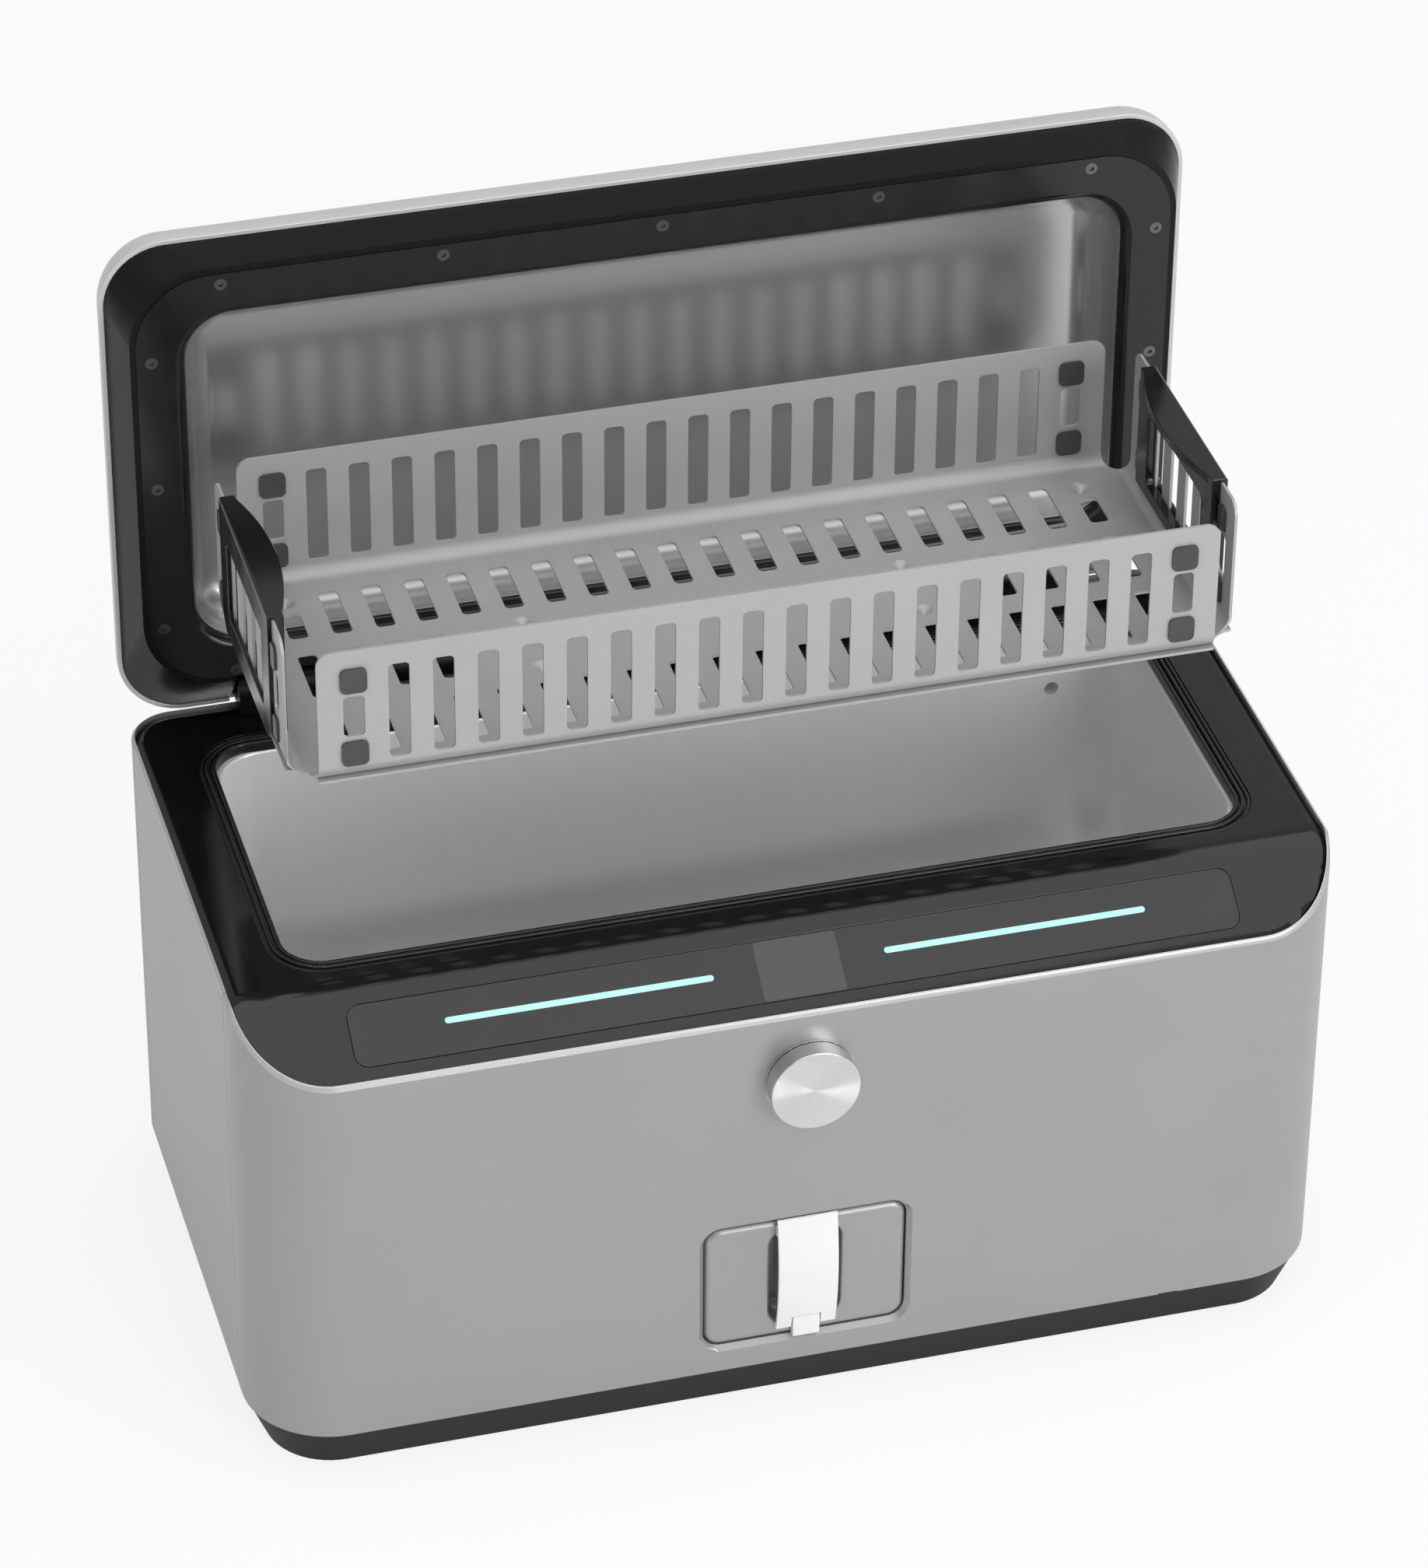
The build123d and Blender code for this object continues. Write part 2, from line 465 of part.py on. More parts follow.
with BuildPart() as power_supply:
    block((-58, 6, CHASSIS_TOP), (58, 88, 62))
    with BuildSketch(Plane.XY.offset(62)):
        with Locations((0, 47)):
            with GridLocations(12, 0, 8, 1):
                SlotOverall(60, 5, rotation=90)
    extrude(amount=-2, mode=Mode.SUBTRACT)
power_supply.part.label = "power_supply"
export_step(power_supply.part, "parts/power_supply.step")

with BuildPart() as exhaust_filter:
    extrude(rounds(Plane.XZ.offset(-72), 22, [(150, 60)]), amount=-36)
    extrude(rounds(Plane.XZ.offset(-108), 15, [(150, 60)]), amount=WALL + 108 - BACK_Y)
    extrude(rounds(Plane.XZ.offset(-72), 9, [(150, 60)]), amount=72 - BACK_Y - 3)
    extrude(rounds(Plane.XZ.offset(-BACK_Y - 4), 6, [(150, 60)]), amount=12, mode=Mode.SUBTRACT)
    block((130, 76, CHASSIS_TOP), (170, 84, 50))
    block((130, 96, CHASSIS_TOP), (170, 104, 50))
exhaust_filter.part.label = "exhaust_filter"
export_step(exhaust_filter.part, "parts/exhaust_filter.step")

with BuildPart() as valve_block:
    top, mid = FLANGE_Z - 12.1, REAR_ROOM + 8.5
    block((144, REAR_ROOM, top - 56), (186, REAR_ROOM + 17, top))
    extrude(rounds(Plane.XY.offset(top), 6, [(154, mid), (175, mid)]), amount=8)
    extrude(rounds(Plane.YZ.offset(186), 5, [(mid, top - 41)]), amount=8)
valve_block.part.label = "valve_block"
export_step(valve_block.part, "parts/valve_block.step")

with BuildPart() as vaporizer:
    top, mid = FLANGE_Z - 18.1, REAR_ROOM + 9.7
    extrude(rounds(Plane.XY.offset(top - 60), 10.5, [(131.5, mid)]), amount=60)
    for drop in (50, 38, 26, 14):
        extrude(rounds(Plane.XY.offset(top - drop), 12, [(131.5, mid)]), amount=5)
    block((131, REAR_ROOM + 5, top - 45), (144, REAR_ROOM + 13, top - 5))
vaporizer.part.label = "vaporizer"
export_step(vaporizer.part, "parts/vaporizer.step")

with BuildPart() as mains_inlet:
    block((-164, 94, 50), (-136, BACK_Y, 70))
    extrude(between(Plane.XZ.offset(-BACK_Y - 2), (-175, 48), (-125, 72)), amount=2)
    extrude(between(Plane.XZ.offset(-BACK_Y - 3), (-161, 52.5), (-139, 67.5)), amount=18, mode=Mode.SUBTRACT)
    for x in (-157, -150, -143):
        block((x - 1, 104, 57 if x != -150 else 61), (x + 1, 117, 62 if x != -150 else 66))
mains_inlet.part.label = "mains_inlet"
export_step(mains_inlet.part, "parts/mains_inlet.step")

with BuildPart() as control_board:
    with BuildSketch(console.offset(-9.5)):
        with Locations((0, 15)):
            Rectangle(230, 30)
    extrude(amount=1.6)
    with BuildSketch(console.offset(-8)):
        with Locations((0, 15)):
            Rectangle(30, 20)
        with Locations((-90, 15), (90, 15)):
            Rectangle(80, 6)
    extrude(amount=3)
    with BuildSketch(console.offset(-8)):
        with Locations((-108, 15), (-30, 15), (30, 15), (108, 15)):
            Circle(3)
    extrude(amount=5.08)
control_board.part.label = "control_board"
export_step(control_board.part, "parts/control_board.step")

with BuildPart() as knob_encoder:
    inner = FACE_Y + WALL
    block((-13, inner, KNOB_Z - 13), (13, inner + 11, KNOB_Z + 13))
    extrude(rounds(Plane.XZ.offset(BACK_Y), BUSH_R, [(0, KNOB_Z)]), amount=-5)
    extrude(rounds(Plane.XZ.offset(BACK_Y + 1), SHAFT_R + RUN_FIT, [(0, KNOB_Z)]),
            amount=-20, mode=Mode.SUBTRACT)
knob_encoder.part.label = "knob_encoder"
export_step(knob_encoder.part, "parts/knob_encoder.step")

with BuildPart() as knob_ring:
    extrude(rounds(Plane.XZ.offset(BACK_Y), RING_R, [(0, KNOB_Z)]), amount=FACE_Y - RING_FRONT)
    extrude(rounds(Plane.XZ.offset(BACK_Y - 1), 5.0, [(0, KNOB_Z)]), amount=6, mode=Mode.SUBTRACT)
knob_ring.part.label = "knob_ring"
export_step(knob_ring.part, "parts/knob_ring.step")

with BuildPart() as knob:
    extrude(rounds(Plane.XZ.offset(-KNOB_BACK), KNOB_R, [(0, KNOB_Z)]), amount=KNOB_BACK - KNOB_FRONT)
    fillet(knob.edges().group_by(Axis.Y)[0], 0.5)
    extrude(rounds(Plane.XZ.offset(-KNOB_BACK), SHAFT_R, [(0, KNOB_Z)]), amount=-14)
knob.part.label = "knob"
export_step(knob.part, "parts/knob.step")

with BuildPart() as drawer_rails:
    for side in (-1, 1):
        outer = RUNNER_X + 5
        low, high = sorted((side * (TRAY_X + SLIDE_GAP), side * outer))
        block((low, -104, CHASSIS_TOP), (high, TRAY_BACK - 2, 58))
        low, high = sorted((side * TRAY_X, side * (RUNNER_X + SLIDE_GAP)))
        block((low, -105, RUNNER_LOW - SLIDE_GAP), (high, TRAY_BACK, RUNNER_TOP + SLIDE_GAP), Mode.SUBTRACT)
drawer_rails.part.label = "drawer_rails"
export_step(drawer_rails.part, "parts/drawer_rails.step")

with BuildPart() as finger_room:
    block((-HOLLOW_X, FRONT_Y, HOLLOW_LOW), (HOLLOW_X, FRONT_Y + HOLLOW_D, HOLLOW_TOP))
    fillet(finger_room.edges().filter_by(Axis.Y), HOLLOW_R)
    fillet(finger_room.edges().group_by(Axis.Y)[-1], HOLLOW_R - 0.5)

# Pillow-edged drawer front with a finger hollow behind the strap
with BuildPart() as drawer_front:
    half = HATCH_X - BEVEL - FRONT_GAP
    low, top = HATCH_LOW + BEVEL + FRONT_GAP, HATCH_TOP - BEVEL - FRONT_GAP
    extrude(wall_outline(half, low, top, HATCH_R - BEVEL - FRONT_GAP, FRONT_BACK), amount=FRONT_BACK - FRONT_Y)
    fillet(drawer_front.edges().group_by(Axis.Y)[0], PILLOW)
    add(finger_room.part, mode=Mode.SUBTRACT)
    fillet(inside_edges(drawer_front.faces().filter_by(Axis.Y).sort_by(Axis.Y)[0]), HOLLOW_LIP)
    block((-BUTTON_X - BUTTON_GAP, -125, 30), (BUTTON_X + BUTTON_GAP, FRONT_BACK + 1,
          BUTTON_TOP + BUTTON_GAP), Mode.SUBTRACT)
drawer_front.part.label = "drawer_front"
export_step(drawer_front.part, "parts/drawer_front.step")

# Bowed pull strap on two end pads
with BuildPart() as drawer_strap:
    mid = (STRAP_LOW + STRAP_TOP) / 2
    with BuildSketch(Plane.YZ.offset(-STRAP_X)):
        with BuildLine():
            ThreePointArc((STRAP_OUT, STRAP_LOW), (STRAP_OUT - STRAP_BOW, mid), (STRAP_OUT, STRAP_TOP))
            Line((STRAP_OUT, STRAP_TOP), (STRAP_OUT + STRAP_END_T, STRAP_TOP))
            ThreePointArc((STRAP_OUT + STRAP_END_T, STRAP_TOP), (STRAP_OUT - STRAP_BOW + STRAP_T, mid),
                          (STRAP_OUT + STRAP_END_T, STRAP_LOW))
            Line((STRAP_OUT + STRAP_END_T, STRAP_LOW), (STRAP_OUT, STRAP_LOW))
        make_face()
    extrude(amount=2 * STRAP_X)
    block((-STRAP_X, STRAP_OUT + 0.4, STRAP_LOW), (STRAP_X, FRONT_Y, HOLLOW_LOW))
    block((-STRAP_X, STRAP_OUT + 0.4, HOLLOW_TOP), (STRAP_X, FRONT_Y, STRAP_TOP - 3.4))
    block((-BUTTON_X - BUTTON_GAP, -130, 30), (BUTTON_X + BUTTON_GAP, -100, BUTTON_TOP + BUTTON_GAP),
          Mode.SUBTRACT)
drawer_strap.part.label = "drawer_strap"
export_step(drawer_strap.part, "parts/drawer_strap.step")

with BuildPart() as drawer_tray:
    block((-TRAY_X, FRONT_BACK, TRAY_LOW), (TRAY_X, TRAY_BACK, TRAY_TOP))
    block((-TRAY_X + SHEET, FRONT_BACK + 6, TRAY_LOW + SHEET), (TRAY_X - SHEET, TRAY_BACK - SHEET, 100),
          Mode.SUBTRACT)
    block((-RUNNER_X, FRONT_BACK + 2, RUNNER_LOW), (RUNNER_X, TRAY_BACK, RUNNER_TOP))
    block((-TRAY_X + SHEET, FRONT_BACK + 6, RUNNER_LOW - 1), (TRAY_X - SHEET, TRAY_BACK - SHEET, 100),
          Mode.SUBTRACT)
    # Room for the stem of the release button
    block((-BUTTON_X - BUTTON_GAP, FRONT_BACK - 1, 30), (BUTTON_X + BUTTON_GAP, FRONT_BACK + 4,
          BUTTON_TOP + BUTTON_GAP), Mode.SUBTRACT)
drawer_tray.part.label = "drawer_tray"
export_step(drawer_tray.part, "parts/drawer_tray.step")

with BuildPart() as cartridge:
    block((-37.5, FRONT_BACK + 6, TRAY_LOW + SHEET), (37.5, TRAY_BACK - SHEET, 86))
    fillet(cartridge.edges().filter_by(Axis.Z), 4)
    extrude(rounds(Plane.XY.offset(86), 10, [(0, -56)]), amount=3)
    block((-30, -92, 85), (30, -78, 86), Mode.SUBTRACT)
cartridge.part.label = "cartridge"
export_step(cartridge.part, "parts/cartridge.step")

with BuildPart() as release_button:
    block((-BUTTON_X, BUTTON_FRONT, BUTTON_LOW), (BUTTON_X, FRONT_BACK - 1, BUTTON_TOP))
    fillet(release_button.edges().group_by(Axis.Y)[0], 0.5)
release_button.part.label = "release_button"
export_step(release_button.part, "parts/release_button.step")

# Hinge blocks on the top cover, barrels on the lid's axis
with BuildPart() as hinge_blocks:
    for x in (-BLOCK_OUT, BLOCK_IN):
        with BuildSketch(Plane.YZ.offset(x)):
            with Locations((HINGE_Y, HINGE_Z)):
                Circle(BLOCK_R)
            with Locations(((HINGE_Y - BLOCK_R + 118.9) / 2, (HINGE_Z + COVER_Z) / 2)):
                Rectangle(118.9 - HINGE_Y + BLOCK_R, HINGE_Z - COVER_Z)
            with Locations((HINGE_Y, HINGE_Z)):
                Circle(PIN_R, mode=Mode.SUBTRACT)
        extrude(amount=BLOCK_OUT - BLOCK_IN)
hinge_blocks.part.label = "hinge_blocks"
export_step(hinge_blocks.part, "parts/hinge_blocks.step")

with BuildPart() as hinge_pins:
    for x in (-PIN_OUT, PIN_IN):
        extrude(rounds(Plane.YZ.offset(x), PIN_R, [(HINGE_Y, HINGE_Z)]), amount=PIN_OUT - PIN_IN)
hinge_pins.part.label = "hinge_pins"
export_step(hinge_pins.part, "parts/hinge_pins.step")

with BuildPart() as lid_room:
    extrude(wall_outline(LID_X - LID_WALL, LID_LOW + LID_WALL, LID_TOP - LID_WALL, LID_R - LID_WALL,
                         LID_FACE), amount=LID_FACE - LID_BACK + LID_WALL)
    fillet(lid_room.edges().group_by(Axis.Y)[-1], LID_ROUND - LID_WALL)

# Rolled lid shell
with BuildPart() as lid_shell:
    extrude(wall_outline(LID_X, LID_LOW, LID_TOP, LID_R, LID_FACE), amount=LID_FACE - LID_BACK)
    fillet(lid_shell.edges().group_by(Axis.Y)[-1], LID_ROUND)
    add(lid_room.part, mode=Mode.SUBTRACT)
    for x in (-NOTCH_OUT, NOTCH_IN):
        block((x, 100, 200), (x + NOTCH_OUT - NOTCH_IN, NOTCH_BACK, NOTCH_TOP), Mode.SUBTRACT)
lid_shell.part.label = "lid_shell"
export_step(lid_shell.part, "parts/lid_shell.step")

screw_spots = [(x * SCREW_STEP, z) for z in (SCREW_TOP, SCREW_LOW) for x in (-2, -1, 0, 1, 2)]
screw_spots += [(x, z) for z in SCREW_SIDE for x in (-SCREW_X, SCREW_X)]

# Tapered lid frame with the hinge knuckle
with BuildPart() as lid_frame:
    inner = LID_WALL
    loft([wall_outline(LID_X - inner, LID_LOW + inner, LID_TOP - inner, LID_R - inner, LID_FACE),
          wall_outline(LEDGE_X, LEDGE_LOW, LEDGE_TOP, LEDGE_R, LEDGE_Y)])
    extrude(wall_outline(LID_X - inner, LID_LOW + inner, LID_TOP - inner, LID_R - inner, LID_FACE + 2), amount=2)
    extrude(rounds(Plane.YZ.offset(-KNUCKLE_X), KNUCKLE_R, [(HINGE_Y, HINGE_Z)]), amount=2 * KNUCKLE_X)
    extrude(wall_outline(PLATE_X, PLATE_LOW, PLATE_TOP, PLATE_R, PLATE_Y + PLATE_T), amount=5,
            mode=Mode.SUBTRACT)
    extrude(wall_outline(PAN_X - 2, PAN_LOW + 2, PAN_TOP - 2, PAN_R - 2, LID_FACE + 5), amount=30,
            mode=Mode.SUBTRACT)
    for x in (-NOTCH_OUT, NOTCH_IN):
        block((x, 100, 200), (x + NOTCH_OUT - NOTCH_IN, NOTCH_BACK, NOTCH_TOP), Mode.SUBTRACT)
    for x in (-KNUCKLE_X - 1, PIN_IN - 0.5):
        extrude(rounds(Plane.YZ.offset(x), PIN_R + RUN_FIT, [(HINGE_Y, HINGE_Z)]),
                amount=KNUCKLE_X - PIN_IN + 1.5, mode=Mode.SUBTRACT)
    extrude(rounds(Plane.XZ.offset(-PLATE_Y - SCREW_LEN), SCREW_R, screw_spots), amount=SCREW_LEN,
            mode=Mode.SUBTRACT)
lid_frame.part.label = "lid_frame"
export_step(lid_frame.part, "parts/lid_frame.step")

with BuildPart() as lid_plate:
    extrude(wall_outline(PLATE_X, PLATE_LOW, PLATE_TOP, PLATE_R, PLATE_Y + PLATE_T), amount=PLATE_T)
    extrude(wall_outline(PAN_X, PAN_LOW, PAN_TOP, PAN_R, PLATE_Y + PLATE_T), amount=PLATE_T,
            mode=Mode.SUBTRACT)
    for spot in screw_spots:
        with Locations(Plane.XZ.offset(-PLATE_Y).location * Pos(*spot)):
            CounterSinkHole(SCREW_R, HEAD_R, counter_sink_angle=90)
lid_plate.part.label = "lid_plate"
export_step(lid_plate.part, "parts/lid_plate.step")

with BuildPart() as lid_screws:
    for spot in screw_spots:
        with Locations(Plane.XZ.offset(-PLATE_Y).location * Pos(*spot)):
            Cone(SCREW_R, HEAD_R, HEAD_R - SCREW_R, align=(Align.CENTER, Align.CENTER, Align.MAX))
            Cylinder(SCREW_R, SCREW_LEN, align=(Align.CENTER, Align.CENTER, Align.MAX))
    with BuildSketch(Plane.XZ.offset(-PLATE_Y)):
        with Locations(*screw_spots):
            RegularPolygon(1.2, 6)
    extrude(amount=-0.8, mode=Mode.SUBTRACT)
lid_screws.part.label = "lid_screws"
export_step(lid_screws.part, "parts/lid_screws.step")

dish_in = PAN_LIP + DISH_MOUTH
dish_x, dish_low, dish_top = PAN_X - dish_in, PAN_LOW + dish_in, PAN_TOP - dish_in
with BuildPart() as dish_room:
    extrude(wall_outline(dish_x, dish_low, dish_top, DISH_R, PLATE_Y), amount=PLATE_Y - PAN_BACK + PAN_T)
    fillet(dish_room.edges().group_by(Axis.Y)[-1], DISH_BEND)

# Dished steel pan
with BuildPart() as lid_pan:
    extrude(wall_outline(dish_x + PAN_T, dish_low - PAN_T, dish_top + PAN_T, DISH_R + PAN_T, PLATE_Y),
            amount=PLATE_Y - PAN_BACK)
    fillet(lid_pan.edges().group_by(Axis.Y)[-1], DISH_BEND + PAN_T)
    extrude(wall_outline(PAN_X, PAN_LOW, PAN_TOP, PAN_R, PLATE_Y + PAN_T), amount=PAN_T)
    fillet(inside_edges(lid_pan.faces().filter_by(Axis.Y).sort_by(Axis.Y)[1]), DISH_MOUTH - PAN_T)
    add(dish_room.part, mode=Mode.SUBTRACT)
    fillet(inside_edges(lid_pan.faces().filter_by(Axis.Y).sort_by(Axis.Y)[0]), DISH_MOUTH)
lid_pan.part.label = "lid_pan"
export_step(lid_pan.part, "parts/lid_pan.step")

with BuildPart() as lid_insulation:
    extrude(wall_outline(PAN_X - 34.3, PAN_LOW + 32.4, PAN_TOP - 31.4, 12, LID_BACK - LID_WALL),
            amount=LID_BACK - LID_WALL - PAN_BACK)
lid_insulation.part.label = "lid_insulation"
export_step(lid_insulation.part, "parts/lid_insulation.step")

# Folded basket: two walls, two end flaps, one floor
with BuildPart() as basket_sheet:
    rise = BASKET_TOP - BASKET_LOW
    for plane, half, length in ((Plane.YZ.offset(-BASKET_X), BASKET_D, BASKET_X),
                                (Plane.XZ.offset(-BASKET_Y - BASKET_D), BASKET_X, BASKET_D)):
        middle = BASKET_Y if half == BASKET_D else 0
        with BuildSketch(plane) as profile:
            with Locations((middle, (BASKET_LOW + BASKET_TOP) / 2)):
                Rectangle(2 * half, rise)
            fillet(profile.vertices().group_by(Axis.Y)[0], BEND_R + BASKET_T)
            with BuildSketch(plane, mode=Mode.SUBTRACT) as core:
                with Locations((middle, (BASKET_LOW + BASKET_TOP) / 2 + BASKET_T)):
                    Rectangle(2 * (half - BASKET_T), rise)
                fillet(core.vertices().group_by(Axis.Y)[0], BEND_R)
        extrude(amount=2 * length)
    corners = [(x, BASKET_Y + y) for x in (-BASKET_X, BASKET_X) for y in (-BASKET_D, BASKET_D)]
    extrude(rounds(Plane.XY.offset(BASKET_LOW - 1), RELIEF_R, corners), amount=rise + 5, mode=Mode.SUBTRACT)
    # Rounded top corners of the walls and flaps
    for plane, middle, half, depth in ((Plane.XZ.offset(100), 0, BASKET_X, -200),
                                       (Plane.YZ.offset(-250), BASKET_Y, BASKET_D, 500)):
        with BuildSketch(plane):
            for side in (-1, 1):
                end = middle + side * (half - RELIEF_R)
                with Locations((end - side * TAB_R / 2 + side * 2, BASKET_TOP - TAB_R / 2 + 2)):
                    Rectangle(TAB_R + 4, TAB_R + 4)
                with Locations((end - side * TAB_R, BASKET_TOP - TAB_R)):
                    Circle(TAB_R, mode=Mode.SUBTRACT)
        extrude(amount=depth, mode=Mode.SUBTRACT)
    # Slots through the long walls
    with BuildSketch(Plane.XZ.offset(100)):
        with Locations((0, SLOT_MID)):
            with GridLocations(SLOT_PITCH, 0, 18, 1):
                RectangleRounded(SLOT_W, SLOT_H, SLOT_R)
            with GridLocations(2 * PAD_X, 0, 2, 1):
                RectangleRounded(SLOT_W, SHORT_H, SLOT_R)
            with GridLocations(2 * PAD_X, 2 * PAD_OFF, 2, 2):
                Rectangle(6, 7)
    extrude(amount=-200, mode=Mode.SUBTRACT)
    # Slots through the end flaps
    with BuildSketch(Plane.YZ.offset(-250)):
        with Locations((GRIP_Y, SLOT_MID)):
            with GridLocations(SLOT_PITCH, 0, 4, 1):
                RectangleRounded(SLOT_W, SLOT_H, SLOT_R)
            with GridLocations(2 * PAD_END, 0, 2, 1):
                RectangleRounded(SLOT_W, SHORT_H, SLOT_R)
            with GridLocations(2 * PAD_END, 2 * PAD_OFF, 2, 2):
                Rectangle(6, 7)
    extrude(amount=500, mode=Mode.SUBTRACT)
    # Slots through the floor
    with BuildSketch(Plane.XY.offset(BASKET_LOW - 1)):
        with Locations((0, BASKET_Y)):
            with GridLocations(SLOT_PITCH, 2 * FLOOR_ROW, 18, 2):
                RectangleRounded(8, FLOOR_SLOT, SLOT_R)
            with GridLocations(2 * PAD_X, 2 * 36.35, 2, 2):
                RectangleRounded(8, 18.1, SLOT_R)
        for x in (-143.2, 143.2):
            with Locations((x, BASKET_Y)):
                with GridLocations(SLOT_PITCH, 0, 4, 1):
                    RectangleRounded(8, FLOOR_SLOT, SLOT_R)
    extrude(amount=5, mode=Mode.SUBTRACT)
    # Pressed feet
    feet_at = [(x, BASKET_Y + y) for x in (-80, 80) for y in (-16.45, 16.45)]
    feet_at += [(x, BASKET_Y + y) for x in (-PAD_X, PAD_X) for y in (-54.5, 54.5)]
    for spot in feet_at:
        with Locations((*spot, BASKET_LOW)):
            Cone(1.2, FOOT_R, FOOT_H, align=(Align.CENTER, Align.CENTER, Align.MAX))
        with Locations((*spot, BASKET_LOW + BASKET_T)):
            Cone(0.4, FOOT_R - 0.6, FOOT_H, align=(Align.CENTER, Align.CENTER, Align.MAX), mode=Mode.SUBTRACT)
basket_sheet.part.label = "basket_sheet"
export_step(basket_sheet.part, "parts/basket_sheet.step")

# Rubber pads plugged through the walls
with BuildPart() as basket_pads:
    for x in (-PAD_X, PAD_X):
        for z in (SLOT_MID - PAD_OFF, SLOT_MID + PAD_OFF):
            for y, inward in ((BASKET_Y - BASKET_D, 1), (BASKET_Y + BASKET_D, -1)):
                near, far = y - inward * PAD_T, y + inward * (BASKET_T + PAD_T)
                low, high = min(near, far), max(near, far)
                block((x - PAD_W / 2, low, z - PAD_H / 2), (x + PAD_W / 2, low + PAD_T, z + PAD_H / 2))
                block((x - PAD_W / 2, high - PAD_T, z - PAD_H / 2), (x + PAD_W / 2, high, z + PAD_H / 2))
                block((x - 3, low + PAD_T, z - 3.5), (x + 3, high - PAD_T, z + 3.5))
    for y in (GRIP_Y - PAD_END, GRIP_Y + PAD_END):
        for z in (SLOT_MID - PAD_OFF, SLOT_MID + PAD_OFF):
            for x, inward in ((-BASKET_X, 1), (BASKET_X, -1)):
                near, far = x - inward * PAD_T, x + inward * (BASKET_T + PAD_T)
                low, high = min(near, far), max(near, far)
                block((low, y - 3.5, z - PAD_H / 2), (low + PAD_T, y + 3.5, z + PAD_H / 2))
                block((high - PAD_T, y - 3.5, z - PAD_H / 2), (high, y + 3.5, z + PAD_H / 2))
                block((low + PAD_T, y - 3, z - 3.5), (high - PAD_T, y + 3, z + 3.5))
basket_pads.part.label = "basket_pads"
export_step(basket_pads.part, "parts/basket_pads.step")


# Handle clipped over one end flap, with an arched grip
def handle(side):
    inner_x, outer_x = BASKET_X - BASKET_T - FRAME_IN, BASKET_X + FRAME_OUT
    with BuildSketch(Plane.YZ.offset(inner_x)) as frame:
        with Locations((GRIP_Y, (FRAME_LOW + BAR_TOP) / 2)):
            Rectangle(2 * BAR_HALF, BAR_TOP - FRAME_LOW)
        chamfer(frame.vertices().group_by(Axis.Y)[0], 6)
        with Locations((GRIP_Y, (WINDOW_LOW + WINDOW_TOP) / 2)):
            RectangleRounded(2 * WINDOW_HALF, WINDOW_TOP - WINDOW_LOW, 3, mode=Mode.SUBTRACT)
    with BuildSketch(Plane.XY.offset(GRIP_LOW)) as grip:
        with BuildLine():
            ThreePointArc((inner_x, GRIP_Y - GRIP_HALF), (inner_x - GRIP_D, GRIP_Y),
                          (inner_x, GRIP_Y + GRIP_HALF))
            Line((inner_x, GRIP_Y + GRIP_HALF), (inner_x, GRIP_Y - GRIP_HALF))
        make_face()
    with BuildPart() as body:
        extrude(frame.sketch, amount=outer_x - inner_x)
        extrude(grip.sketch, amount=BAR_TOP - GRIP_LOW)
        block((BASKET_X - BASKET_T, -60, 290), (BASKET_X, 90, BASKET_TOP), Mode.SUBTRACT)
        block((inner_x - 1, -60, 290), (BASKET_X, 90, BASKET_LOW + BASKET_T + BEND_R), Mode.SUBTRACT)
        ridge = [e for e in body.edges() if abs(e.position_at(0.5).Z - BAR_TOP) < 0.01
                 and abs(e.position_at(0.5).X - outer_x) < 0.01]
        fillet(ridge, 1.4)
    return body.part if side > 0 else body.part.mirror(Plane.YZ)


with BuildPart() as basket_handle_left:
    add(handle(-1))
basket_handle_left.part.label = "basket_handle_left"
export_step(basket_handle_left.part, "parts/basket_handle_left.step")

with BuildPart() as basket_handle_right:
    add(handle(1))
basket_handle_right.part.label = "basket_handle_right"
export_step(basket_handle_right.part, "parts/basket_handle_right.step")
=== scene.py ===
from math import radians

import bmesh
import bpy
from mathutils import Matrix, Vector


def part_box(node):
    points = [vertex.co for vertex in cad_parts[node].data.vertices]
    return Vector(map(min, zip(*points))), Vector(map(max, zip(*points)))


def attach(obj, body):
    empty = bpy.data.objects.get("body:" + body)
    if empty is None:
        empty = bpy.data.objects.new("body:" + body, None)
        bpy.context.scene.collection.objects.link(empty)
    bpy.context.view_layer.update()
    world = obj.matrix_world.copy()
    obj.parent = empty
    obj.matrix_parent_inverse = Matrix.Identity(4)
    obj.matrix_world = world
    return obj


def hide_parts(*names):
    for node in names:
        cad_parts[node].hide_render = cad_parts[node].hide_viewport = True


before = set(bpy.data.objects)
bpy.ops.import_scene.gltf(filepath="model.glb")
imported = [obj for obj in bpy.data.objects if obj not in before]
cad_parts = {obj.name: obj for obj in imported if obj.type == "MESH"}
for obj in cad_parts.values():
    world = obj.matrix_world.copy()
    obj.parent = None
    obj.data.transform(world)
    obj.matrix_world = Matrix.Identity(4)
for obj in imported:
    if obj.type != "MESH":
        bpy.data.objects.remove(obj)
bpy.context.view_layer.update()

# Places in metres, read from the frame
KNOB_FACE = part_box("knob")[0][1]
PAN_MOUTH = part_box("lid_pan")[0][1]

# Depth of the pan's black border, and of the knob's flat face with its eased edge
BORDER_DEPTH = 0.0034
FACE_DEPTH = 0.0002
# How squarely a face of the knob looks forward to count as flat
FACE_SQUARE = 0.98
# Height from which the casing's slanting faces get a painted highlight, and how steeply they look up
RIM_FROM = 0.19
RIM_SLANT = 0.35, 0.97
# Edges of the basket's pads that are shorter than this are corners, and the radius they get
PAD_EDGE = 0.0021
PAD_CORNER = 0.0024

# Most values of a noise lie in this span
NOISE_SPAN = 0.3, 0.7

# Points nearer than this are welded, and faces that meet flatter than this are joined
WELD = 0.000002
FLAT_ANGLE = radians(0.6)
